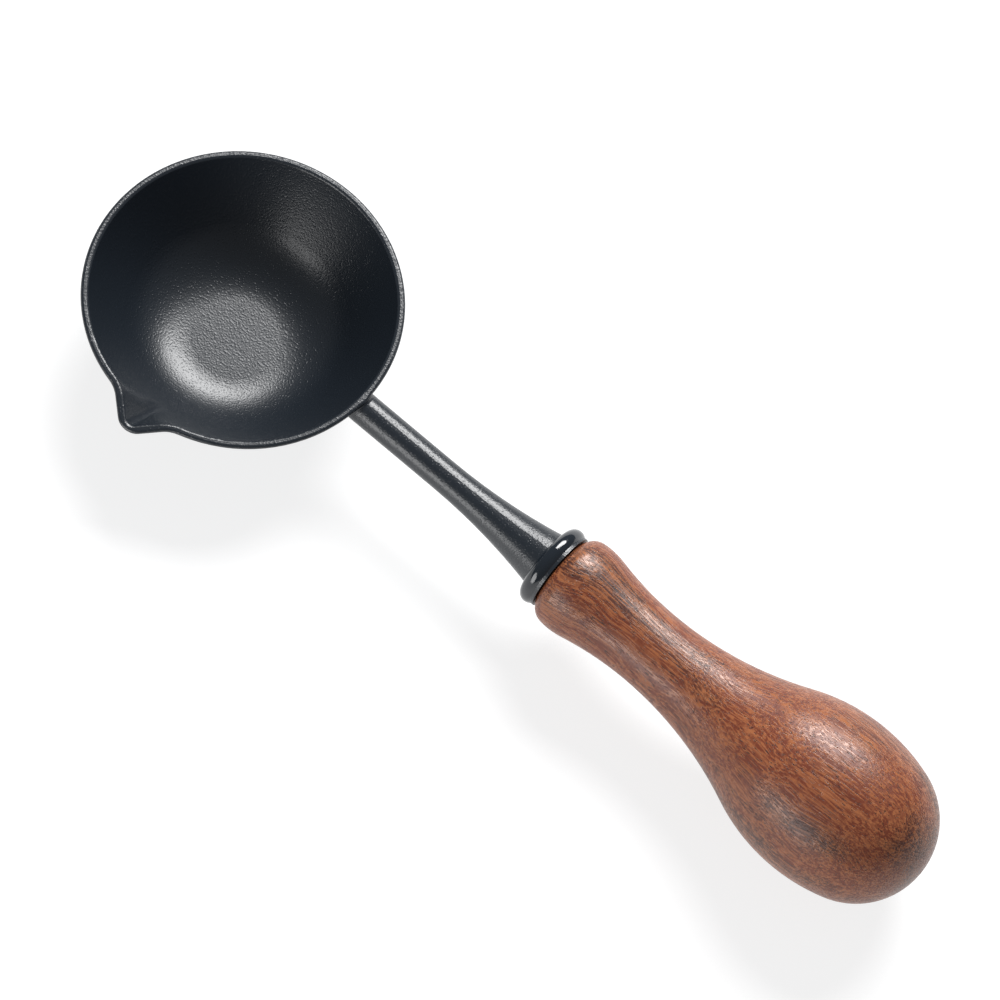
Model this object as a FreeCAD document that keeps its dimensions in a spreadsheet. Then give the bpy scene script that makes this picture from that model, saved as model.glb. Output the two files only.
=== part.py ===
"""Pouring ladle: a cast black-coated head and a turned wooden handle.

The frame: z = 0 is the plane the ladle rests on, the origin is the middle of
the bowl's flat base, +X runs along the stem and handle, and the spout points
to -Y, a little towards the handle. Lengths are in millimetres and angles in degrees.
"""

import FreeCAD
import Part
import math
import os
import re

import Sketcher

START, END, CENTRE = 1, 2, 3        # the points of a sketch line or arc
ORIGIN_POINT = (-1, 1)              # the sketch's own origin
Y_AXIS = -2                         # the sketch's vertical axis

GLUE_GROOVES = 4                    # grooves in the tang

SIZES = {
    # bowl
    "rim_radius": 16.4,             # outside of the bowl at the rim
    "bowl_height": 10.9,            # resting plane to the rim
    "stem_drop": 2.1,               # rim to the axis of stem and handle
    "base_radius": 4.6,             # flat that the bowl stands on
    "heel_radius": 9.5,             # outside curve from the base into the wall
    "side_radius": 30.0,            # outside curve of the wall above the heel
    "wall": 0.8,                    # metal thickness of the bowl
    "lip_round": 0.3,               # rounding of each edge of the lip
    "trim_height": 1.5,             # metal above the rim that the trim takes off
    # pouring spout
    "spout_turn": 1.9,              # nose of the spout towards the handle, from square
    "spout_reach": 3.2,             # nose of the spout beyond the rim circle
    "spout_angle": 82.0,            # between the two flanks, seen from above
    "spout_nose_radius": 1.9,       # outside rounding of the nose at the rim
    "spout_foot_radius": 1.3,       # the same where the nose sinks into the wall
    "spout_foot_height": 2.6,       # resting plane to the foot of the spout
    "spout_foot_sink": 0.3,         # nose behind the bowl's wall at the foot
    "spout_wall": 1.0,              # metal of the spout, measured level
    "spout_root_radius": 2.8,       # hollow between flank and bowl, outside
    "lip_dip_angle": 12.0,          # slope of the lip down to the nose
    "lip_dip_start": 13.6,          # bowl axis to where the lip begins to fall
    "lip_dip_radius": 12.0,         # bend between the level lip and the slope
    # stem and collar
    "stem_radius": 1.66,
    "stem_root_radius": 0.3,        # hollow between stem and bowl
    "flare_start": 26.7,            # bowl axis to where the stem begins to widen
    "flare_radius": 66.0,           # hollow curve of the widening
    "bead_radius": 0.95,            # half-round section of the collar's bead
    "bead_top_radius": 4.47,        # outside of the bead
    "bead_place": 41.05,            # bowl axis to the middle of the bead
    "collar_land_radius": 4.2,      # thin flange behind the bead
    "collar_face": 42.05,           # bowl axis to the face that seats on the handle
    # tang
    "tang_radius": 2.0,
    "tang_length": 18.0,
    "tang_chamfer": 0.5,
    "glue_groove_depth": 0.3,
    "glue_groove_width": 1.0,
    "glue_groove_pitch": 3.5,
    # handle
    "handle_length": 46.6,
    "front_round": 1.8,             # edge of the handle's front face
    "shoulder_place": 2.5,          # front face to the widest point of the shoulder
    "shoulder_top_radius": 5.03,
    "shoulder_curve": 7.9,          # curve along the handle over the shoulder
    "waist_place": 11.7,            # front face to the narrowest point
    "waist_radius": 4.02,
    "bulb_to_butt": 11.8,           # widest point of the bulb to the butt end
    "bulb_curve": 20.0,             # curve along the handle over the bulb
    "glue_gap": 0.1,                # round the tang, in the bore
    "bore_end_gap": 1.0,            # beyond the end of the tang
    "drill_point_angle": 118.0,
}


def make_sizes(doc):
    """Put every driving size in the spreadsheet under its own alias."""
    sheet = doc.addObject("Spreadsheet::Sheet", "Sizes")
    for row, (name, amount) in enumerate(SIZES.items(), start=1):
        sheet.set("A%d" % row, name)
        sheet.set("B%d" % row, str(amount))
        sheet.setAlias("B%d" % row, name)
    doc.recompute()


def with_sizes(expression):
    """Turn 'rim_radius - wall' into 'Sizes.rim_radius - Sizes.wall'."""
    return re.sub("[a-z_]+", lambda word: "Sizes." * (word[0] in SIZES) + word[0], expression)


def bind(thing, path, expression):
    """Tie a property to the sizes."""
    thing.setExpression(path, with_sizes(expression))


def value(expression):
    """Work out an expression of the sizes, in millimetres or degrees."""
    result = FreeCAD.ActiveDocument.Sizes.evalExpression(with_sizes(expression))
    return float(getattr(result, "Value", result))


def origin_feature(body, role):
    """Return one of the body's own origin planes or axes."""
    for feature in body.Origin.OriginFeatures:
        if feature.Role == role:
            return feature
    raise ValueError("no origin feature " + role)


def new_body(doc, label):
    body = doc.addObject("PartDesign::Body", label)
    body.Label = label
    return body


def new_sketch(body, name, role):
    sketch = body.newObject("Sketcher::SketchObject", name)
    sketch.AttachmentSupport = [(origin_feature(body, role), "")]
    sketch.MapMode = "FlatFace"
    return sketch


# ---------------------------------------------------------------- sketching

def line(sketch, start, end, construction=False):
    segment = Part.LineSegment(FreeCAD.Vector(*start, 0), FreeCAD.Vector(*end, 0))
    return sketch.addGeometry(segment, construction)


def arc(sketch, centre, radius, from_angle, to_angle, construction=False):
    """Arc that runs counter-clockwise between two angles in degrees."""
    circle = Part.Circle(FreeCAD.Vector(*centre, 0), FreeCAD.Vector(0, 0, 1), radius)
    curve = Part.ArcOfCircle(circle, math.radians(from_angle), math.radians(to_angle))
    return sketch.addGeometry(curve, construction)


def marker(sketch, at):
    """Construction point."""
    return sketch.addGeometry(Part.Point(FreeCAD.Vector(*at, 0)), True)


def fix(sketch, kind, *places):
    """Add a constraint that has no size."""
    sketch.addConstraint(Sketcher.Constraint(kind, *places))


def size(sketch, kind, name, expression, *places):
    """Add a dimension that follows the sizes."""
    amount = value(expression)
    if kind == "Angle":
        amount = math.radians(amount)
    index = sketch.addConstraint(Sketcher.Constraint(kind, *places, amount))
    sketch.renameConstraint(index, name)
    bind(sketch, "Constraints." + name, expression)


def place(sketch, name, point, x=None, y=None):
    """Put a sketch point at a distance from the sketch's origin along x, y or both."""
    if x:
        size(sketch, "DistanceX", name + "_x", x, *ORIGIN_POINT, *point)
    if y:
        size(sketch, "DistanceY", name + "_y", y, *ORIGIN_POINT, *point)


def crest(sketch, name, curve, x=None, y=None):
    """Put the highest or lowest point of an arc at a stated place."""
    top = marker(sketch, (value(x), value(y)))
    fix(sketch, "PointOnObject", top, START, curve)
    fix(sketch, "Vertical", top, START, curve, CENTRE)
    place(sketch, name, (top, START), x, y)


def join(sketch, *corners):
    """Close an outline: each pair of points becomes one corner."""
    for first, second in corners:
        fix(sketch, "Coincident", *first, *second)


# ---------------------------------------------------------------- bowl

def side_start_angle():
    """Angle from straight down at which the heel curve becomes the side curve."""
    step = value("side_radius - heel_radius")
    run = value("rim_radius - base_radius")
    rise = value("heel_radius - bowl_height")
    along = value("side_radius") ** 2 - run ** 2 - rise ** 2 - step ** 2
    bearing = math.degrees(math.atan2(rise, run))
    return math.degrees(math.asin(along / (2 * step * math.hypot(run, rise)))) - bearing


def bowl_outline(sketch, top, construction=False):
    """Draw the outside of the bowl's section: a heel arc, then a side arc through the rim."""
    turn = side_start_angle()
    heel_radius = value("heel_radius")
    side_radius = value("side_radius")
    step = side_radius - heel_radius
    heel_centre = (value("base_radius"), heel_radius)
    side_centre = (heel_centre[0] - step * math.sin(math.radians(turn)),
                   heel_centre[1] + step * math.cos(math.radians(turn)))
    top_angle = math.degrees(math.asin((top - side_centre[1]) / side_radius))
    heel = arc(sketch, heel_centre, heel_radius, -90, turn - 90, construction)
    side = arc(sketch, side_centre, side_radius, turn - 90, top_angle, construction)
    rim = marker(sketch, (value("rim_radius"), value("bowl_height")))
    fix(sketch, "Tangent", heel, END, side, START)
    size(sketch, "Radius", "heel", "heel_radius", heel)
    size(sketch, "Radius", "side", "side_radius", side)
    place(sketch, "heel_centre", (heel, CENTRE), x="base_radius")
    place(sketch, "rim", (rim, START), x="rim_radius", y="bowl_height")
    fix(sketch, "PointOnObject", rim, START, side)
    return heel, side


def add_bowl_blank(body):
    """Turn the outside of the bowl as a solid, a little higher than the rim."""
    sketch = new_sketch(body, "bowl_section", "XZ_Plane")
    top_height = "bowl_height + trim_height"
    top = value(top_height)
    heel, side = bowl_outline(sketch, top)
    base = line(sketch, (0, 0), (value("base_radius"), 0))
    lid = line(sketch, (value("rim_radius"), top), (0, top))
    axis = line(sketch, (0, top), (0, 0))
    fix(sketch, "Coincident", base, START, *ORIGIN_POINT)
    fix(sketch, "Horizontal", base)
    fix(sketch, "Tangent", base, END, heel, START)
    join(sketch, ((side, END), (lid, START)), ((lid, END), (axis, START)),
         ((axis, END), (base, START)))
    fix(sketch, "Horizontal", lid)
    fix(sketch, "Vertical", axis)
    size(sketch, "DistanceY", "blank_height", top_height, axis, END, axis, START)
    return turn_about(body, "bowl_blank", sketch, "V_Axis")


def turn_about(body, name, sketch, axis):
    """Revolve a sketch a full turn about one of its own axes."""
    feature = body.newObject("PartDesign::Revolution", name)
    feature.Profile = sketch
    feature.ReferenceAxis = (sketch, [axis])
    feature.Angle = 360
    body.Document.recompute()
    return feature


# ---------------------------------------------------------------- spout

def turn_with_spout(sketch, upright):
    """Turn a sketch about the bowl's axis, so that its -Y side faces the way of the spout."""
    axis = FreeCAD.Vector(*upright)
    turn = FreeCAD.Rotation(axis, value("spout_turn"))
    sketch.AttachmentOffset = FreeCAD.Placement(FreeCAD.Vector(), turn)
    bind(sketch, "AttachmentOffset.Rotation.Angle", "spout_turn")


def spout_section(body, name, height, reach, radius):
    """Draw the spout cut level: two flanks joined by a round nose that points to -Y."""
    sketch = new_sketch(body, name, "XY_Plane")
    turn_with_spout(sketch, (0, 0, 1))
    bind(sketch, "AttachmentOffset.Base.z", height)
    nose_to_axis = value(reach)
    nose_size = value(radius)
    half = value("spout_angle") / 2
    centre_y = nose_size - nose_to_axis
    back_y = -nose_to_axis / 2
    touch_x = nose_size * math.cos(math.radians(half))
    touch_y = centre_y - nose_size * math.sin(math.radians(half))
    back_x = touch_x + (back_y - touch_y) * math.tan(math.radians(half))
    nose = arc(sketch, (0, centre_y), nose_size, -180 + half, -half)
    right = line(sketch, (touch_x, touch_y), (back_x, back_y))
    back = line(sketch, (back_x, back_y), (-back_x, back_y))
    left = line(sketch, (-back_x, back_y), (-touch_x, touch_y))
    fix(sketch, "Tangent", nose, END, right, START)
    fix(sketch, "Tangent", left, END, nose, START)
    join(sketch, ((right, END), (back, START)), ((back, END), (left, START)))
    fix(sketch, "PointOnObject", nose, CENTRE, Y_AXIS)
    fix(sketch, "Symmetric", back, START, back, END, Y_AXIS)
    size(sketch, "Radius", "nose", radius, nose)
    size(sketch, "Angle", "flank", "90 - spout_angle / 2", right)
    size(sketch, "DistanceY", "nose_to_axis", "%s - (%s)" % (reach, radius),
         nose, CENTRE, *ORIGIN_POINT)
    size(sketch, "DistanceY", "back_to_axis", "(%s) / 2" % reach, back, START, *ORIGIN_POINT)
    return sketch


def add_spout(body, name, rise, spout_inset, bowl_inset):
    """Loft the spout from its foot in the bowl's wall to a rise above the rim."""
    foot_reach = ("base_radius + sqrt((heel_radius%s)^2 - (heel_radius - spout_foot_height)^2)"
                  " - spout_foot_sink" % bowl_inset)
    rim_reach = "rim_radius + spout_reach" + spout_inset
    top_reach = ("%s + (%s - (%s)) * %s / (bowl_height - spout_foot_height)"
                 % (rim_reach, rim_reach, foot_reach, rise))
    foot = spout_section(body, name + "_foot", "spout_foot_height", foot_reach,
                         "spout_foot_radius" + spout_inset)
    top = spout_section(body, name + "_top", "bowl_height + " + rise, top_reach,
                        "spout_nose_radius" + spout_inset)
    body.Document.recompute()
    loft = body.newObject("PartDesign::AdditiveLoft", name)
    loft.Profile = foot
    loft.Sections = [top]
    loft.Ruled = True
    body.Document.recompute()
    return loft


def edges_between(shape, is_first, is_second):
    """Name the edges that have a face of one sort on one side and the other sort on the other."""
    names = []
    for number, edge in enumerate(shape.Edges, start=1):
        faces = shape.ancestorsOfType(edge, Part.Face)
        if len(faces) != 2:
            continue
        one, other = faces
        if (is_first(one) and is_second(other)) or (is_first(other) and is_second(one)):
            names.append("Edge%d" % number)
    return names


def add_fillet(body, name, base, edge_names, radius):
    """Round the named edges of a feature."""
    if not edge_names:
        raise ValueError("no edges to round for " + name)
    fillet = body.newObject("PartDesign::Fillet", name)
    fillet.Base = (base, edge_names)
    fillet.Radius = value(radius)
    bind(fillet, "Radius", radius)
    body.Document.recompute()
    return fillet


def is_bowl_wall(face):
    """True for a face turned about the bowl's own axis."""
    return face.Surface.TypeId in ("Part::GeomToroid", "Part::GeomSurfaceOfRevolution")


def is_spout_side(face):
    """True for a flank or the nose of the spout, which lean out from the vertical."""
    u0, u1, v0, v1 = face.ParameterRange
    normal = face.normalAt((u0 + u1) / 2, (v0 + v1) / 2)
    return abs(normal.z) < 0.99 and not is_bowl_wall(face)


# ---------------------------------------------------------------- stem, collar and tang

def add_stem(body):
    """Turn the stem, its flare, the collar and the tang about the handle's axis."""
    sketch = new_sketch(body, "stem_section", "XZ_Plane")
    axis_height = value("bowl_height - stem_drop")
    start_x = value("rim_radius / 2")
    flare_x = value("flare_start")
    face_x = value("collar_face")
    tip_x = face_x + value("tang_length")
    stem_y = axis_height + value("stem_radius")
    bead_y = axis_height + value("bead_top_radius - bead_radius")
    land_y = axis_height + value("collar_land_radius")
    tang_y = axis_height + value("tang_radius")
    chamfer = value("tang_chamfer")
    bead_x = value("bead_place")
    bead_size = value("bead_radius")
    flare_size = value("flare_radius")
    flare_turn = math.degrees(math.asin((bead_x - bead_size - flare_x) / flare_size))
    land_turn = math.degrees(math.asin((land_y - bead_y) / bead_size))

    core = line(sketch, (0, axis_height), (tip_x, axis_height), construction=True)
    start = line(sketch, (start_x, axis_height), (start_x, stem_y))
    rod = line(sketch, (start_x, stem_y), (flare_x, stem_y))
    flare = arc(sketch, (flare_x, stem_y + flare_size), flare_size, -90, flare_turn - 90)
    bead = arc(sketch, (bead_x, bead_y), bead_size, land_turn, 200)
    land = line(sketch, (bead_x + bead_size * math.cos(math.radians(land_turn)), land_y),
                (face_x, land_y))
    face = line(sketch, (face_x, land_y), (face_x, tang_y))
    tang = line(sketch, (face_x, tang_y), (tip_x - chamfer, tang_y))
    slope = line(sketch, (tip_x - chamfer, tang_y), (tip_x, tang_y - chamfer))
    tip = line(sketch, (tip_x, tang_y - chamfer), (tip_x, axis_height))
    close = line(sketch, (tip_x, axis_height), (start_x, axis_height))

    join(sketch, ((start, END), (rod, START)), ((flare, END), (bead, END)),
         ((bead, START), (land, START)), ((land, END), (face, START)),
         ((face, END), (tang, START)), ((tang, END), (slope, START)),
         ((slope, END), (tip, START)), ((tip, END), (close, START)),
         ((close, END), (start, START)))
    fix(sketch, "Tangent", rod, END, flare, START)
    fix(sketch, "PointOnObject", core, START, Y_AXIS)
    fix(sketch, "Coincident", core, END, tip, END)
    for level in (core, rod, land, tang, close):
        fix(sketch, "Horizontal", level)
    for upright in (start, face, tip):
        fix(sketch, "Vertical", upright)
    place(sketch, "start", (start, START), x="rim_radius / 2", y="bowl_height - stem_drop")
    size(sketch, "DistanceY", "stem", "stem_radius", start, START, start, END)
    place(sketch, "flare_start", (flare, START), x="flare_start")
    size(sketch, "Radius", "flare", "flare_radius", flare)
    size(sketch, "Radius", "bead", "bead_radius", bead)
    place(sketch, "bead_centre", (bead, CENTRE), x="bead_place",
          y="bowl_height - stem_drop + bead_top_radius - bead_radius")
    place(sketch, "collar", (face, START), x="collar_face",
          y="bowl_height - stem_drop + collar_land_radius")
    size(sketch, "DistanceY", "tang", "tang_radius", core, START, tang, START)
    place(sketch, "tip", (tip, END), x="collar_face + tang_length")
    size(sketch, "DistanceX", "chamfer_run", "tang_chamfer", slope, START, slope, END)
    size(sketch, "DistanceY", "chamfer_fall", "tang_chamfer", slope, END, slope, START)
    stem = turn_about(body, "stem", sketch, "Axis0")
    roots = edges_between(stem.Shape, is_bowl_wall, is_stem)
    return add_fillet(body, "stem_root", stem, roots, "stem_root_radius")


def is_stem(face):
    """True for the plain round of the stem, beside the bowl."""
    surface = face.Surface
    if surface.TypeId != "Part::GeomCylinder" or abs(surface.Axis.x) < 0.5:
        return False
    return abs(surface.Radius - value("stem_radius")) < 0.001 and face.BoundBox.XMin < value(
        "flare_start - stem_radius")


def add_glue_grooves(body):
    """Turn shallow grooves in the tang, where the glue keys."""
    sketch = new_sketch(body, "glue_groove_section", "XZ_Plane")
    axis_height = value("bowl_height - stem_drop")
    outer = axis_height + 2 * value("tang_radius")
    inner = axis_height + value("tang_radius - glue_groove_depth")
    near = value("collar_face + glue_groove_pitch")
    far = near + value("glue_groove_width")
    core = line(sketch, (0, axis_height), (near, axis_height), construction=True)
    floor = line(sketch, (near, inner), (far, inner))
    right = line(sketch, (far, inner), (far, outer))
    top = line(sketch, (far, outer), (near, outer))
    left = line(sketch, (near, outer), (near, inner))
    join(sketch, ((floor, END), (right, START)), ((right, END), (top, START)),
         ((top, END), (left, START)), ((left, END), (floor, START)))
    for level in (core, floor, top):
        fix(sketch, "Horizontal", level)
    for upright in (left, right):
        fix(sketch, "Vertical", upright)
    fix(sketch, "PointOnObject", core, START, Y_AXIS)
    place(sketch, "core", (core, END), x="collar_face + glue_groove_pitch", y="bowl_height - stem_drop")
    place(sketch, "groove", (floor, START), x="collar_face + glue_groove_pitch",
          y="bowl_height - stem_drop + tang_radius - glue_groove_depth")
    size(sketch, "DistanceX", "width", "glue_groove_width", floor, START, floor, END)
    place(sketch, "outer", (top, START), y="bowl_height - stem_drop + 2 * tang_radius")
    before = body.Tip.Shape.Volume
    groove = body.newObject("PartDesign::Groove", "glue_groove")
    groove.Profile = sketch
    groove.ReferenceAxis = (sketch, ["Axis0"])
    groove.Angle = 360
    body.Document.recompute()
    if groove.Shape.Volume >= before:
        raise ValueError("the glue groove cuts nothing")
    pattern = body.newObject("PartDesign::LinearPattern", "glue_grooves")
    pattern.Originals = [groove]
    pattern.Direction = (origin_feature(body, "X_Axis"), [""])
    pattern.Mode = "Spacing"
    bind(pattern, "Offset", "glue_groove_pitch")
    pattern.Occurrences = GLUE_GROOVES
    body.Tip = pattern
    body.Document.recompute()
    return pattern


# ---------------------------------------------------------------- hollow and lip

def make_cavity(doc):
    """Build the hollow of the bowl and spout as a solid to cut away."""
    body = new_body(doc, "bowl_cavity")
    sketch = new_sketch(body, "cavity_section", "XZ_Plane")
    top_height = "bowl_height + 2 * trim_height"
    top = value(top_height)
    wall = value("wall")
    outer_heel, outer_side = bowl_outline(sketch, top, construction=True)
    heel_curve = sketch.Geometry[outer_heel]
    side_curve = sketch.Geometry[outer_side]
    heel_centre = (heel_curve.Center.x, heel_curve.Center.y)
    side_centre = (side_curve.Center.x, side_curve.Center.y)
    turn = math.degrees(heel_curve.LastParameter)
    turn = turn - 360 if turn > 180 else turn
    side_radius = side_curve.Radius - wall
    top_angle = math.degrees(math.asin((top - side_centre[1]) / side_radius))
    heel = arc(sketch, heel_centre, heel_curve.Radius - wall, -90, turn)
    side = arc(sketch, side_centre, side_radius, turn, top_angle)
    floor = line(sketch, (0, wall), (heel_centre[0], wall))
    lid = line(sketch, (value("rim_radius"), top), (0, top))
    axis = line(sketch, (0, top), (0, wall))
    fix(sketch, "Coincident", heel, CENTRE, outer_heel, CENTRE)
    fix(sketch, "Coincident", side, CENTRE, outer_side, CENTRE)
    fix(sketch, "PointOnObject", outer_side, END, lid)
    place(sketch, "outer_heel", (outer_heel, CENTRE), y="heel_radius")
    fix(sketch, "Vertical", outer_heel, START, outer_heel, CENTRE)
    size(sketch, "Radius", "inner_heel", "heel_radius - wall", heel)
    fix(sketch, "Tangent", floor, END, heel, START)
    fix(sketch, "Tangent", heel, END, side, START)
    join(sketch, ((side, END), (lid, START)), ((lid, END), (axis, START)),
         ((axis, END), (floor, START)))
    fix(sketch, "Horizontal", floor)
    fix(sketch, "Horizontal", lid)
    fix(sketch, "Vertical", axis)
    fix(sketch, "PointOnObject", axis, END, Y_AXIS)
    place(sketch, "lid", (axis, START), y=top_height)
    turn_about(body, "cavity_blank", sketch, "V_Axis")
    hollow = add_spout(body, "spout_hollow", "2 * trim_height", " - spout_wall", " - wall")
    edges = edges_between(hollow.Shape, is_bowl_wall, is_spout_side)
    add_fillet(body, "spout_hollow_root", hollow, edges, "spout_root_radius + wall")
    return body


def trim_lip(body):
    """Cut the bowl level at the rim, with the lip falling gently towards the spout's nose."""
    sketch = new_sketch(body, "lip_line", "YZ_Plane")
    turn_with_spout(sketch, (0, 1, 0))
    rim = value("bowl_height")
    start_y = -value("lip_dip_start")
    bend = value("lip_dip_radius")
    slope = math.radians(value("lip_dip_angle"))
    far = 2 * value("rim_radius")
    bend_end = (start_y - bend * math.sin(slope), rim - bend * (1 - math.cos(slope)))
    fall_end = (-far, bend_end[1] - (far + bend_end[0]) * math.tan(slope))
    above = rim + 4 * value("trim_height")
    level = line(sketch, (far, rim), (start_y, rim))
    curve = arc(sketch, (start_y, rim - bend), bend, 90, 90 + math.degrees(slope))
    fall = line(sketch, fall_end, bend_end)
    rise = line(sketch, fall_end, (-far, above))
    lid = line(sketch, (-far, above), (far, above))
    side = line(sketch, (far, above), (far, rim))
    fix(sketch, "Horizontal", level)
    fix(sketch, "Tangent", level, END, curve, START)
    fix(sketch, "Tangent", curve, END, fall, END)
    join(sketch, ((fall, START), (rise, START)), ((rise, END), (lid, START)),
         ((lid, END), (side, START)), ((side, END), (level, START)))
    fix(sketch, "Vertical", rise)
    fix(sketch, "Horizontal", lid)
    fix(sketch, "Vertical", side)
    size(sketch, "Radius", "bend", "lip_dip_radius", curve)
    place(sketch, "far_corner", (side, START), x="2 * rim_radius",
          y="bowl_height + 4 * trim_height")
    size(sketch, "DistanceY", "rim", "bowl_height", *ORIGIN_POINT, level, START)
    size(sketch, "DistanceX", "dip_start", "lip_dip_start", level, END, *ORIGIN_POINT)
    size(sketch, "DistanceX", "near_corner", "2 * rim_radius", rise, END, *ORIGIN_POINT)
    size(sketch, "Angle", "dip", "lip_dip_angle", fall)
    before = body.Tip.Shape.Volume
    trim = body.newObject("PartDesign::Pocket", "lip_trim")
    trim.Profile = sketch
    trim.SideType = "Symmetric"
    bind(trim, "Length", "4 * rim_radius")
    body.Document.recompute()
    if trim.Shape.Volume >= before:
        raise ValueError("the lip trim cuts nothing")
    return trim


def lip_height(point):
    """Height of the lip above a point of the plan, before its edges are rounded."""
    turn = math.radians(value("spout_turn"))
    rim = value("bowl_height")
    bend = value("lip_dip_radius")
    slope = math.radians(value("lip_dip_angle"))
    past = point.x * math.sin(turn) - point.y * math.cos(turn) - value("lip_dip_start")
    if past <= 0:
        return rim
    if past <= bend * math.sin(slope):
        return rim - bend + math.sqrt(bend ** 2 - past ** 2)
    bend_fall = bend * (1 - math.cos(slope))
    return rim - bend_fall - (past - bend * math.sin(slope)) * math.tan(slope)


def is_lip(face):
    """True for the flat, cut top of the bowl's wall."""
    near = 0.001
    middle = face.CenterOfMass
    return all(abs(corner.Z - lip_height(corner.Point)) < near for corner in face.Vertexes) and (
        abs(middle.z - lip_height(middle)) < 0.1)


def round_lip(body, trim):
    """Round both edges of the lip all the way round the bowl and spout."""
    edges = edges_between(trim.Shape, is_lip, lambda face: not is_lip(face))
    return add_fillet(body, "lip", trim, edges, "lip_round")


def make_head(doc, cavity):
    """Build the cast head: bowl, spout, stem, collar and tang in one piece."""
    body = new_body(doc, "ladle_head")
    add_bowl_blank(body)
    spout = add_spout(body, "spout", "trim_height", "", "")
    roots = edges_between(spout.Shape, is_bowl_wall, is_spout_side)
    add_fillet(body, "spout_root", spout, roots, "spout_root_radius")
    add_stem(body)
    add_glue_grooves(body)
    hollow = body.newObject("PartDesign::Boolean", "hollow")
    hollow.Type = "Cut"
    hollow.setObjects([cavity])
    doc.recompute()
    round_lip(body, trim_lip(body))
    return body


# ---------------------------------------------------------------- handle

def tangent_radius(run, rise, other_radius):
    """Radius of a curve that ends level, run and rise away from another curve's centre."""
    return (run ** 2 + rise ** 2 - other_radius ** 2) / (2 * (other_radius - rise))


def make_handle(doc):
    """Turn the wooden handle and drill it for the tang."""
    body = new_body(doc, "handle")
    bind(body, "Placement.Base.x", "collar_face")
    bind(body, "Placement.Base.z", "bowl_height - stem_drop")
    sketch = new_sketch(body, "handle_section", "XZ_Plane")
    length = value("handle_length")
    bulb_x = value("handle_length - bulb_to_butt")
    bulb_size = value("bulb_curve")
    bulb_y = value("bowl_height - stem_drop") - bulb_size
    waist_x = value("waist_place")
    crown_x = value("shoulder_place")
    corner_size = value("front_round")

    waist_y = value("waist_radius")
    crown_size = value("shoulder_curve")
    crown_y = value("shoulder_top_radius") - crown_size
    front_size = tangent_radius(waist_x - crown_x, waist_y - crown_y, crown_size)
    rear_size = tangent_radius(bulb_x - waist_x, waist_y - bulb_y, bulb_size)
    butt_run = length - bulb_x
    butt_size = (butt_run ** 2 + bulb_y ** 2 - bulb_size ** 2) / (2 * (butt_run - bulb_size))
    corner_y = crown_y + math.sqrt((crown_size - corner_size) ** 2
                                   - (crown_x - corner_size) ** 2)
    corner_turn = bearing(crown_x, crown_y, corner_size, corner_y)
    crown_turn = bearing(crown_x, crown_y, waist_x, waist_y + front_size)
    rear_turn = bearing(bulb_x, bulb_y, waist_x, waist_y + rear_size)
    butt_turn = bearing(bulb_x, bulb_y, length - butt_size, 0)

    axis = line(sketch, (length, 0), (0, 0))
    front = line(sketch, (0, 0), (0, corner_y))
    corner = arc(sketch, (corner_size, corner_y), corner_size, corner_turn, 180)
    crown = arc(sketch, (crown_x, crown_y), crown_size, crown_turn, corner_turn)
    front_hollow = arc(sketch, (waist_x, waist_y + front_size), front_size,
                       crown_turn + 180, 270)
    rear_hollow = arc(sketch, (waist_x, waist_y + rear_size), rear_size, 270, rear_turn + 180)
    bulb = arc(sketch, (bulb_x, bulb_y), bulb_size, butt_turn, rear_turn)
    butt = arc(sketch, (length - butt_size, 0), butt_size, 0, butt_turn)

    fix(sketch, "Coincident", axis, END, *ORIGIN_POINT)
    fix(sketch, "Coincident", front, START, *ORIGIN_POINT)
    fix(sketch, "Coincident", butt, START, axis, START)
    fix(sketch, "Horizontal", axis)
    fix(sketch, "Vertical", front)
    fix(sketch, "Tangent", front, END, corner, END)
    fix(sketch, "Tangent", corner, START, crown, END)
    fix(sketch, "Tangent", crown, START, front_hollow, START)
    fix(sketch, "Tangent", front_hollow, END, rear_hollow, START)
    fix(sketch, "Vertical", front_hollow, END, front_hollow, CENTRE)
    fix(sketch, "Tangent", rear_hollow, END, bulb, END)
    fix(sketch, "Tangent", bulb, START, butt, END)
    fix(sketch, "PointOnObject", butt, CENTRE, axis)
    place(sketch, "butt", (axis, START), x="handle_length")
    size(sketch, "Radius", "corner", "front_round", corner)
    size(sketch, "Radius", "crown", "shoulder_curve", crown)
    size(sketch, "Radius", "bulb", "bulb_curve", bulb)
    crest(sketch, "shoulder", crown, "shoulder_place", "shoulder_top_radius")
    place(sketch, "waist", (front_hollow, END), x="waist_place", y="waist_radius")
    crest(sketch, "bulb", bulb, "handle_length - bulb_to_butt", "bowl_height - stem_drop")
    turn_about(body, "turned_handle", sketch, "H_Axis")
    drill_bore(body)
    return body


def bearing(from_x, from_y, to_x, to_y):
    """Direction from one sketch point to another, in degrees from the x axis."""
    return math.degrees(math.atan2(to_y - from_y, to_x - from_x))


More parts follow.
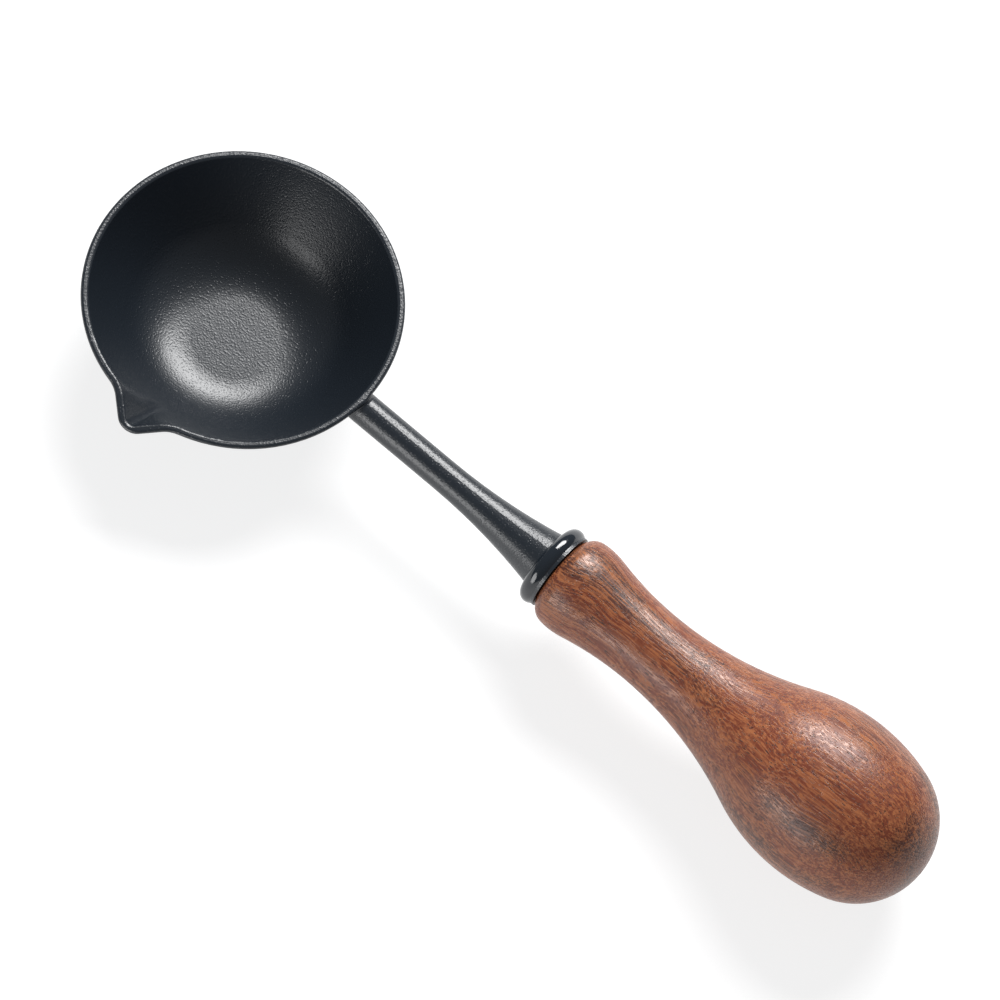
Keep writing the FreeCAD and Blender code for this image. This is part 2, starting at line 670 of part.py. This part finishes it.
def drill_bore(body):
    """Drill the blind bore for the tang into the handle's front face."""
    sketch = new_sketch(body, "bore_place", "YZ_Plane")
    circle = Part.Circle(FreeCAD.Vector(0, 0, 0), FreeCAD.Vector(0, 0, 1),
                         value("tang_radius + glue_gap"))
    ring = sketch.addGeometry(circle, False)
    fix(sketch, "Coincident", ring, CENTRE, *ORIGIN_POINT)
    size(sketch, "Radius", "bore", "tang_radius + glue_gap", ring)
    body.Document.recompute()
    before = body.Tip.Shape.Volume
    bore = body.newObject("PartDesign::Hole", "tang_bore")
    bore.Profile = sketch
    bore.Threaded = False
    bore.DepthType = "Dimension"
    bore.DrillPoint = "Angled"
    bore.Reversed = True
    bind(bore, "Diameter", "2 * (tang_radius + glue_gap)")
    bind(bore, "Depth", "tang_length + bore_end_gap")
    bind(bore, "DrillPointAngle", "drill_point_angle")
    body.Document.recompute()
    if bore.Shape.Volume >= before:
        raise ValueError("the bore cuts nothing")


# ---------------------------------------------------------------- the ladle

def check(doc, parts):
    """Stop if any feature failed or any piece isn't one good solid."""
    for thing in doc.Objects:
        if "Invalid" in thing.State or "Error" in thing.State:
            raise ValueError("%s failed: %s" % (thing.Name, thing.getStatusString()))
    for part in parts:
        if part.Shape.isNull() or not part.Shape.isValid() or len(part.Shape.Solids) != 1:
            raise ValueError("%s is not one valid solid" % part.Label)


def main():
    doc = FreeCAD.newDocument("pouring_ladle")
    make_sizes(doc)
    parts = [make_head(doc, make_cavity(doc)), make_handle(doc)]
    doc.recompute()
    check(doc, parts)
    os.makedirs("parts", exist_ok=True)
    for part in parts:
        part.Shape.exportStep("parts/%s.step" % part.Label)
        print("%s: %.1f mm3" % (part.Label, part.Shape.Volume))


main()
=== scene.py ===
"""A small pouring ladle: a black coated cast head and a turned rosewood handle.

Lengths are in metres, and angles are written in degrees and turned to radians. The
ladle stands on z = 0 with its handle along +X and its spout towards -Y.
"""

import math

import bpy
from mathutils import Matrix, Vector


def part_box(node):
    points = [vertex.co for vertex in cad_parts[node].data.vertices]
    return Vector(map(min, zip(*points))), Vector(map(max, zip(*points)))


bl_info = {
    "name": "Pouring Ladle",
    "version": (1, 0, 0),
    "blender": (4, 5, 0),
    "location": "3D View > Sidebar > Ladle",
    "description": "Finishes a cast pouring ladle with a turned wooden handle",
    "category": "Object",
}

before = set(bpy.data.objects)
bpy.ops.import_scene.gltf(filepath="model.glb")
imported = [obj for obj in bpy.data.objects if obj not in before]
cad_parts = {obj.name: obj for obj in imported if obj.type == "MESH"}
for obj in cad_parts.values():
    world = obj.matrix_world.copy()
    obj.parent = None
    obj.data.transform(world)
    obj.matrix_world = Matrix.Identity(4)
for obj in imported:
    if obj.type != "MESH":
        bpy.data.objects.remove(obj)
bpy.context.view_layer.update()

MM = 0.001

# a Mix node's sockets for colours go by number, as its other kinds have the same names
MIX_FACTOR, MIX_UNDER, MIX_OVER, MIX_RESULT = 0, 6, 7, 2

# the collar's bead is rubbed glossy between these distances in front of the handle
BEAD_FAR = 1.85 * MM
BEAD_NEAR = 0.5 * MM
BEAD_FADE = 0.3 * MM

# the camera and the lamps face the middle of the ladle, and the slides frame the view
MIDDLE = Vector((0.040, 0, 0.008))
CAMERA_SLIDE_RIGHT = -0.004322
CAMERA_SLIDE_UP = 0.006186

# each lamp's tilt from the camera's axis, turn from straight up, width and length
LAMP_DISTANCE = 0.6
KEY_LAMP = (math.radians(68), math.radians(19), 0.44, 0.27)
FILL_LAMP = (math.radians(60), math.radians(236), 0.50, 0.30)
FLOOR_HALF_WIDTH = 3.0


def linear(hex_colour):
    """Turn an sRGB hex colour into the linear red, green and blue that shaders take."""
    channels = [int(hex_colour[place:place + 2], 16) / 255 for place in (0, 2, 4)]
    return tuple(c / 12.92 if c <= 0.04045 else ((c + 0.055) / 1.055) ** 2.4
                 for c in channels)


def add_node(tree, kind, settings=None, values=None, links=None):
    """Add a shader node, set its properties and sockets, and link it to other nodes."""
    new = tree.nodes.new(kind)
    for name, setting in (settings or {}).items():
        setattr(new, name, setting)
    for socket, amount in (values or {}).items():
        new.inputs[socket].default_value = amount
    for socket, source in (links or {}).items():
        tree.links.new(source, new.inputs[socket])
    return new


def new_material(name):
    """Start an empty node material and return it with its tree."""
    material = bpy.data.materials.new(name)
    material.use_nodes = True
    material.node_tree.nodes.clear()
    return material, material.node_tree


# ---------------------------------------------------------------- settings

class LadleCoatingSettings(bpy.types.PropertyGroup):
    """Sizes and colours of the black coating on the cast head."""

    colour: bpy.props.FloatVectorProperty(
        name="Coating colour", description="Colour of the cured coating",
        subtype="COLOR", size=3, min=0, max=1, default=linear("1B2128"))
    grain: bpy.props.FloatProperty(
        name="Grain", description="Width of one grain of the sprayed coating",
        subtype="DISTANCE", unit="LENGTH", min=0.00002, default=0.19 * MM)
    grain_depth: bpy.props.FloatProperty(
        name="Grain depth", description="Height of the coating's grain",
        subtype="DISTANCE", unit="LENGTH", min=0, default=0.015 * MM)
    roughness: bpy.props.FloatProperty(
        name="Roughness", description="Roughness of the sprayed coating",
        subtype="FACTOR", min=0, max=1, default=0.33)
    bead_roughness: bpy.props.FloatProperty(
        name="Bead roughness", description="Roughness of the collar's bead, rubbed smoother",
        subtype="FACTOR", min=0, max=1, default=0.12)


class LadleWoodSettings(bpy.types.PropertyGroup):
    """Sizes and colours of the turned handle."""

    heartwood: bpy.props.FloatVectorProperty(
        name="Heartwood", description="Main red-brown of the wood",
        subtype="COLOR", size=3, min=0, max=1, default=linear("753823"))
    light_fibre: bpy.props.FloatVectorProperty(
        name="Light fibre", description="Orange-brown of the pale fibres",
        subtype="COLOR", size=3, min=0, max=1, default=linear("BA754B"))
    dark_band: bpy.props.FloatVectorProperty(
        name="Dark band", description="Purple-brown of the dark growth bands",
        subtype="COLOR", size=3, min=0, max=1, default=linear("38201A"))
    pore: bpy.props.FloatVectorProperty(
        name="Pores", description="Colour inside the open pores",
        subtype="COLOR", size=3, min=0, max=1, default=linear("2E1C16"))
    fibre_width: bpy.props.FloatProperty(
        name="Fibre width", description="Width of one bundle of fibres",
        subtype="DISTANCE", unit="LENGTH", min=0.00002, default=0.19 * MM)
    pore_width: bpy.props.FloatProperty(
        name="Pore width", description="Width of one open pore",
        subtype="DISTANCE", unit="LENGTH", min=0.00002, default=0.12 * MM)
    band_spacing: bpy.props.FloatProperty(
        name="Band spacing", description="Distance between growth bands",
        subtype="DISTANCE", unit="LENGTH", min=0.0005, default=5.0 * MM)


class LadleStageSettings(bpy.types.PropertyGroup):
    """Camera and lamps of the plain studio."""

    azimuth: bpy.props.FloatProperty(
        name="Azimuth", description="Turn of the camera about the vertical",
        subtype="ANGLE", unit="ROTATION", default=math.radians(26.11))
    elevation: bpy.props.FloatProperty(
        name="Elevation", description="Angle of the camera above the floor",
        subtype="ANGLE", unit="ROTATION", default=math.radians(66.72))
    roll: bpy.props.FloatProperty(
        name="Roll", description="Turn of the camera about its own view",
        subtype="ANGLE", unit="ROTATION", default=math.radians(15.65))
    distance: bpy.props.FloatProperty(
        name="Distance", description="Camera to the ladle", subtype="DISTANCE",
        unit="LENGTH", min=0.1, default=0.75)
    focal_length: bpy.props.FloatProperty(
        name="Focal length", description="Lens of the camera, in millimetres",
        subtype="DISTANCE_CAMERA", unit="CAMERA", min=1, default=272.18)
    key_power: bpy.props.FloatProperty(
        name="Key power", description="Power of the large soft lamp", subtype="POWER",
        unit="POWER", min=0, default=5.2)
    fill_power: bpy.props.FloatProperty(
        name="Fill power", description="Power of the low, dim lamp", subtype="POWER",
        unit="POWER", min=0, default=1.9)


# ---------------------------------------------------------------- materials

def sprayed_non_stick_coating(settings):
    """Black non-stick coating, sprayed and baked on a casting.

    Cured coatings of this kind are an opaque dielectric with an IOR near 1.6. The spray
    leaves a fine pebbled grain that breaks each highlight up into bright dots. Its finest
    grains are too fine to show, so it is drawn as coarse as it needs to show.
    """
    material, tree = new_material("sprayed_black_non_stick_coating")
    place = add_node(tree, "ShaderNodeTexCoord").outputs["Object"]
    apart = add_node(tree, "ShaderNodeSeparateXYZ", links={"Vector": place})
    grain = add_node(tree, "ShaderNodeTexNoise",
                     values={"Scale": 1 / settings.grain, "Detail": 0.0},
                     links={"Vector": place})
    # a few grains stand proud of the rest and glint beyond the edge of a highlight
    proud = add_node(tree, "ShaderNodeMapRange", {"interpolation_type": "SMOOTHSTEP"},
                     values={"From Min": 0.64, "From Max": 0.76, "To Max": 0.5},
                     links={"Value": grain.outputs["Fac"]})
    grain_height = add_node(tree, "ShaderNodeMath", {"operation": "ADD"},
                            links={0: grain.outputs["Fac"], 1: proud.outputs["Result"]})
    # the bead is rubbed smooth, which fades out on each side of its crest
    handle_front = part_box("handle")[0][0]
    bead_low, bead_high = handle_front - BEAD_FAR, handle_front - BEAD_NEAR
    off_bead = add_node(tree, "ShaderNodeMath", {"operation": "SUBTRACT"},
                        values={1: (bead_low + bead_high) / 2},
                        links={0: apart.outputs["X"]})
    off_bead = add_node(tree, "ShaderNodeMath", {"operation": "ABSOLUTE"},
                        links={0: off_bead.outputs["Value"]})
    sprayed = add_node(tree, "ShaderNodeMapRange", {"interpolation_type": "SMOOTHSTEP"},
                       values={"From Min": (bead_high - bead_low) / 2,
                               "From Max": (bead_high - bead_low) / 2 + BEAD_FADE},
                       links={"Value": off_bead.outputs["Value"]})
    gloss = add_node(tree, "ShaderNodeMapRange",
                     values={"To Min": settings.bead_roughness,
                             "To Max": settings.roughness},
                     links={"Value": sprayed.outputs["Result"]})
    height = add_node(tree, "ShaderNodeMath", {"operation": "MULTIPLY"},
                      links={0: grain_height.outputs["Value"],
                             1: sprayed.outputs["Result"]})
    bump = add_node(tree, "ShaderNodeBump", values={"Distance": settings.grain_depth},
                    links={"Height": height.outputs["Value"]})
    shader = add_node(tree, "ShaderNodeBsdfPrincipled",
                      values={"Base Color": (*settings.colour, 1), "IOR": 1.6},
                      links={"Normal": bump.outputs["Normal"],
                             "Roughness": gloss.outputs["Result"]})
    add_node(tree, "ShaderNodeOutputMaterial", links={"Surface": shader.outputs["BSDF"]})
    return material


def streaks(tree, place, width, length, low, high, amount, detail=2.0, bend=0.0):
    """Mask streaks of a real width and length that run along the handle.

    The mask rises from 0 to amount while the pattern, itself from 0 to 1, goes from low
    to high, so a higher pair leaves fewer streaks.
    """
    stretched = add_node(tree, "ShaderNodeVectorMath", {"operation": "MULTIPLY"},
                         values={1: (1 / length, 1 / width, 1 / width)}, links={0: place})
    noise = add_node(tree, "ShaderNodeTexNoise",
                     values={"Scale": 1.0, "Detail": detail, "Roughness": 0.6,
                             "Distortion": bend},
                     links={"Vector": stretched.outputs["Vector"]})
    mask = add_node(tree, "ShaderNodeMapRange", {"interpolation_type": "SMOOTHSTEP"},
                    values={"From Min": low, "From Max": high, "To Max": amount},
                    links={"Value": noise.outputs["Fac"]})
    return mask.outputs["Result"]


def turned_rosewood(settings):
    """Rosewood, turned, sanded and waxed.

    Fine orange fibres and short dark pores run along the handle, over slow purple-brown
    growth bands that wander. The wax leaves a broad sheen, with an IOR of 1.5, which the
    open grain breaks up into bright dashes. Single fibres are too fine to show, so they
    are drawn in bundles that are as coarse as they need to show.
    """
    material, tree = new_material("turned_waxed_rosewood")
    place = add_node(tree, "ShaderNodeTexCoord").outputs["Object"]

    # interlocked grain: the fibres wander sideways as they run along the handle
    wander_every = 9 * MM
    wander_by = 1.6 * MM
    wander = add_node(tree, "ShaderNodeTexNoise",
                      values={"Scale": 1 / wander_every, "Detail": 1.0},
                      links={"Vector": place})
    shift = add_node(tree, "ShaderNodeVectorMath", {"operation": "MULTIPLY_ADD"},
                     values={1: (0, 2 * wander_by, 2 * wander_by),
                             2: (0, -wander_by, -wander_by)},
                     links={0: wander.outputs["Color"]})
    grain_place = add_node(tree, "ShaderNodeVectorMath", {"operation": "ADD"},
                           links={0: place, 1: shift.outputs["Vector"]}).outputs["Vector"]

    band, fibre, pore = settings.band_spacing, settings.fibre_width, settings.pore_width
    fibre_amount = 0.6
    bands = streaks(tree, grain_place, band, 8 * band, 0.44, 0.66, 0.8, detail=4.0)
    ribbons = streaks(tree, grain_place, band / 6, 4 * band, 0.48, 0.68, 0.35)
    fibres = streaks(tree, grain_place, fibre, 16 * fibre, 0.44, 0.62, fibre_amount,
                     bend=0.2)
    pores = streaks(tree, grain_place, pore, 9 * pore, 0.60, 0.69, 0.8, detail=1.0)
    # rays lie across the fibres, and the lathe leaves faint rings between them
    rays = streaks(tree, grain_place, 1.1 * MM, 0.24 * MM, 0.52, 0.72, 0.2, detail=1.0)
    rings = streaks(tree, place, 8 * MM, 0.3 * MM, 0.3, 0.7, 0.25, detail=1.0)

    colour = add_node(tree, "ShaderNodeMix", {"data_type": "RGBA"},
                      values={MIX_UNDER: (*settings.heartwood, 1),
                              MIX_OVER: (*settings.dark_band, 1)},
                      links={MIX_FACTOR: bands}).outputs[MIX_RESULT]
    for stain, mask in ((settings.light_fibre, ribbons), (settings.light_fibre, fibres),
                        (settings.light_fibre, rays), (settings.pore, pores)):
        colour = add_node(tree, "ShaderNodeMix", {"data_type": "RGBA"},
                          values={MIX_OVER: (*stain, 1)},
                          links={MIX_FACTOR: mask, MIX_UNDER: colour}).outputs[MIX_RESULT]

    relief_depth = 0.014 * MM
    grain_relief = add_node(tree, "ShaderNodeMath", {"operation": "SUBTRACT"},
                            links={0: fibres, 1: pores})
    relief = add_node(tree, "ShaderNodeMath", {"operation": "ADD"},
                      links={0: grain_relief.outputs["Value"], 1: rings})
    bump = add_node(tree, "ShaderNodeBump", values={"Distance": relief_depth},
                    links={"Height": relief.outputs["Value"]})
    # the wax lies smoother on the pale fibres
    gloss = add_node(tree, "ShaderNodeMapRange",
                     values={"From Max": fibre_amount, "To Min": 0.40, "To Max": 0.27},
                     links={"Value": fibres})
    shader = add_node(tree, "ShaderNodeBsdfPrincipled", values={"IOR": 1.5},
                      links={"Base Color": colour, "Normal": bump.outputs["Normal"],
                             "Roughness": gloss.outputs["Result"]})
    add_node(tree, "ShaderNodeOutputMaterial", links={"Surface": shader.outputs["BSDF"]})
    return material


def matt_white_card():
    """Matt card that is light grey to the lamps and white where it is seen.

    Camera, glossy and transmission rays see it lifted to white less the ladle's shadow,
    so the ladle stands on white and the coating mirrors the same white.
    """
    material, tree = new_material("matt_white_card")
    white_lift = 0.78
    path = add_node(tree, "ShaderNodeLightPath")
    seen = add_node(tree, "ShaderNodeMath", {"operation": "ADD", "use_clamp": True},
                    links={0: path.outputs["Is Camera Ray"], 1: path.outputs["Is Glossy Ray"]})
    seen = add_node(tree, "ShaderNodeMath", {"operation": "ADD", "use_clamp": True},
                    links={0: seen.outputs["Value"], 1: path.outputs["Is Transmission Ray"]})
    lift = add_node(tree, "ShaderNodeMath", {"operation": "MULTIPLY"}, values={1: white_lift},
                    links={0: seen.outputs["Value"]})
    shade = add_node(tree, "ShaderNodeMix", {"data_type": "RGBA"},
                     values={MIX_UNDER: (*linear("B8B8B8"), 1),
                             MIX_OVER: (*linear("A0A0A0"), 1)},
                     links={MIX_FACTOR: seen.outputs["Value"]})
    shader = add_node(tree, "ShaderNodeBsdfPrincipled",
                      values={"Roughness": 0.9, "Emission Color": (1, 1, 1, 1),
                              "Specular IOR Level": 0.0},
                      links={"Emission Strength": lift.outputs["Value"],
                             "Base Color": shade.outputs[MIX_RESULT]})
    add_node(tree, "ShaderNodeOutputMaterial", links={"Surface": shader.outputs["BSDF"]})
    return material


def dress(node_name, material):
    """Give a CAD node's whole surface one material."""
    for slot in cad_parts[node_name].material_slots:
        slot.material = material


# ---------------------------------------------------------------- stage

def camera_axes(stage):
    """Right, up and back of the camera."""
    azimuth, elevation, roll = stage.azimuth, stage.elevation, stage.roll
    back = Vector((math.sin(azimuth) * math.cos(elevation),
                   -math.cos(azimuth) * math.cos(elevation), math.sin(elevation)))
    level = Vector((math.cos(azimuth), math.sin(azimuth), 0))
    rise = back.cross(level)
    right = math.cos(roll) * level + math.sin(roll) * rise
    up = -math.sin(roll) * level + math.cos(roll) * rise
    return right, up, back


def aim(thing, place, right, up, back):
    """Stand a camera or lamp at a place, looking along minus back."""
    turn = Matrix((right, up, back)).transposed()
    thing.matrix_world = Matrix.Translation(place) @ turn.to_4x4()


def add_soft_lamp(name, axes, power, tilt, turn, width, length):
    """Hang a soft oval lamp that faces the middle of the ladle.

    It is tilted away from the camera's axis, towards a direction that is turned
    clockwise from straight up in the camera's view.
    """
    right, up, back = axes
    across = up * math.cos(turn) + right * math.sin(turn)
    towards = back * math.cos(tilt) + across * math.sin(tilt)
    along = right * math.cos(turn) - up * math.sin(turn)
    data = bpy.data.lights.new(name, "AREA")
    data.shape = "ELLIPSE"
    data.size, data.size_y = width, length
    data.energy = power
    lamp = bpy.data.objects.new(name, data)
    bpy.context.collection.objects.link(lamp)
    aim(lamp, MIDDLE + towards * LAMP_DISTANCE, along, towards.cross(along), towards)


def add_floor():
    """Lay a large card for the ladle to stand on."""
    half = FLOOR_HALF_WIDTH
    mesh = bpy.data.meshes.new("floor")
    mesh.from_pydata([(-half, -half, 0), (half, -half, 0), (half, half, 0), (-half, half, 0)],
                     [], [(0, 1, 2, 3)])
    floor = bpy.data.objects.new("floor", mesh)
    bpy.context.collection.objects.link(floor)
    mesh.materials.append(matt_white_card())


def light_the_room():
    """Fill the room with a dim, even light, and show it white to the camera."""
    world = bpy.data.worlds.new("studio_room")
    bpy.context.scene.world = world
    world.use_nodes = True
    tree = world.node_tree
    tree.nodes.clear()
    path = add_node(tree, "ShaderNodeLightPath")
    room = add_node(tree, "ShaderNodeBackground",
                    values={"Color": (*linear("D8DCE2"), 1), "Strength": 0.25})
    white = add_node(tree, "ShaderNodeBackground",
                     values={"Color": (1, 1, 1, 1), "Strength": 1.0})
    both = add_node(tree, "ShaderNodeMixShader",
                    links={0: path.outputs["Is Camera Ray"], 1: room.outputs["Background"],
                           2: white.outputs["Background"]})
    add_node(tree, "ShaderNodeOutputWorld", links={"Surface": both.outputs["Shader"]})


# ---------------------------------------------------------------- operators

class LADLE_OT_coat_head(bpy.types.Operator):
    """Coat the cast head in black non-stick coating"""

    bl_idname = "ladle.coat_head"
    bl_label = "Coat the head"

    def execute(self, context):
        dress("ladle_head", sprayed_non_stick_coating(context.scene.ladle_coating))
        return {"FINISHED"}


class LADLE_OT_finish_handle(bpy.types.Operator):
    """Finish the turned handle in waxed rosewood"""

    bl_idname = "ladle.finish_handle"
    bl_label = "Finish the handle"

    def execute(self, context):
        dress("handle", turned_rosewood(context.scene.ladle_wood))
        return {"FINISHED"}


class LADLE_OT_set_stage(bpy.types.Operator):
    """Set the floor, the lamps and the camera"""

    bl_idname = "ladle.set_stage"
    bl_label = "Set the stage"

    def execute(self, context):
        stage = context.scene.ladle_stage
        right, up, back = camera_axes(stage)
        data = bpy.data.cameras.new("camera")
        data.sensor_width = 36
        data.lens = stage.focal_length
        data.clip_end = 20
        camera = bpy.data.objects.new("camera", data)
        context.collection.objects.link(camera)
        place = (MIDDLE + back * stage.distance + right * CAMERA_SLIDE_RIGHT
                 + up * CAMERA_SLIDE_UP)
        aim(camera, place, right, up, back)
        context.scene.camera = camera

        add_floor()
        light_the_room()
        axes = (right, up, back)
        add_soft_lamp("key_lamp", axes, stage.key_power, *KEY_LAMP)
        add_soft_lamp("fill_lamp", axes, stage.fill_power, *FILL_LAMP)
        context.scene.view_settings.view_transform = "Standard"
        return {"FINISHED"}


class LADLE_PT_panel(bpy.types.Panel):
    """Lists the steps that finish the ladle"""

    bl_idname = "LADLE_PT_panel"
    bl_label = "Pouring Ladle"
    bl_space_type = "VIEW_3D"
    bl_region_type = "UI"
    bl_category = "Ladle"

    def draw(self, context):
        scene = context.scene
        for settings, step in ((scene.ladle_coating, "ladle.coat_head"),
                               (scene.ladle_wood, "ladle.finish_handle"),
                               (scene.ladle_stage, "ladle.set_stage")):
            box = self.layout.box()
            for name in settings.__annotations__:
                box.prop(settings, name)
            box.operator(step)


CLASSES = (LadleCoatingSettings, LadleWoodSettings, LadleStageSettings,
           LADLE_OT_coat_head, LADLE_OT_finish_handle, LADLE_OT_set_stage, LADLE_PT_panel)


def register():
    """Add the ladle's settings, operators and panel to Blender."""
    for item in CLASSES:
        bpy.utils.register_class(item)
    bpy.types.Scene.ladle_coating = bpy.props.PointerProperty(type=LadleCoatingSettings)
    bpy.types.Scene.ladle_wood = bpy.props.PointerProperty(type=LadleWoodSettings)
    bpy.types.Scene.ladle_stage = bpy.props.PointerProperty(type=LadleStageSettings)


def unregister():
    """Take them out again."""
    del bpy.types.Scene.ladle_stage
    del bpy.types.Scene.ladle_wood
    del bpy.types.Scene.ladle_coating
    for item in reversed(CLASSES):
        bpy.utils.unregister_class(item)


def main():
    """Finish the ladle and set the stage."""
    register()
    bpy.ops.ladle.coat_head()
    bpy.ops.ladle.finish_handle()
    bpy.ops.ladle.set_stage()


if __name__ == "__main__":
    main()
